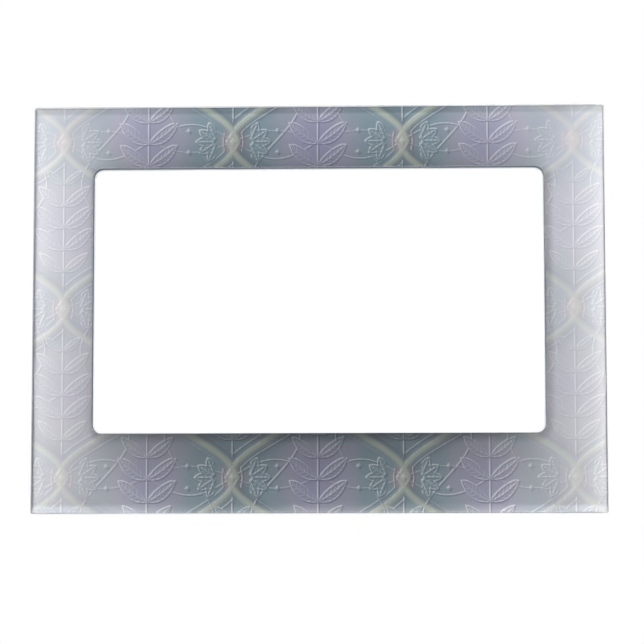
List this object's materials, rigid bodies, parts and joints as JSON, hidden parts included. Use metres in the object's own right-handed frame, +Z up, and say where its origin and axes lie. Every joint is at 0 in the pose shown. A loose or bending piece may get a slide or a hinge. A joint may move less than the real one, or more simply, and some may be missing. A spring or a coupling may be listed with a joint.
{
  "type": "magnetic photo frame",
  "caption": "Flat landscape magnetic photo frame with a clear panel, shallowly bevelled at its rim, over a printed film, a rounded window, a top-loading photo pocket and a flexible magnet back.",
  "frame": {"origin": "centre of the magnet sheet's back face, where the frame lies on a steel door", "axes": "+Z up the frame's height, +X to the right seen from the front, the front faces -Y and the magnet faces +Y"},
  "size_m": [0.1778, 0.0054, 0.127],
  "materials": {
    "clear_acrylic": "clear, polished all over",
    "printed_film": "smooth print in lavender, teal, dusty pink and pale green, white behind",
    "clear_film": "clear, smooth",
    "clear_tape": "clear double-sided tape",
    "white_card": "smooth white card",
    "foam_tape": "fine closed-cell foam, white",
    "white_vinyl": "satin white vinyl",
    "flexible_magnet": "dark brown-black, matte, faintly lined along its length"
  },
  "bodies": {
    "frame": {"front_panel": "clear_acrylic", "print_film": "printed_film", "window_sheet": "clear_film", "window_tape": "clear_tape", "spacer_left": "foam_tape", "spacer_right": "foam_tape", "spacer_bottom": "foam_tape", "magnet_facing": "white_vinyl", "magnet_sheet": "flexible_magnet"},
    "photo": {"photo_card": "white_card"}
  },
  "joints": [
    {"name": "photo_slide", "type": "slide", "parent": "frame", "child": "photo", "axis": [0, 0, 1], "range_m": [0, 0.115]}
  ]
}
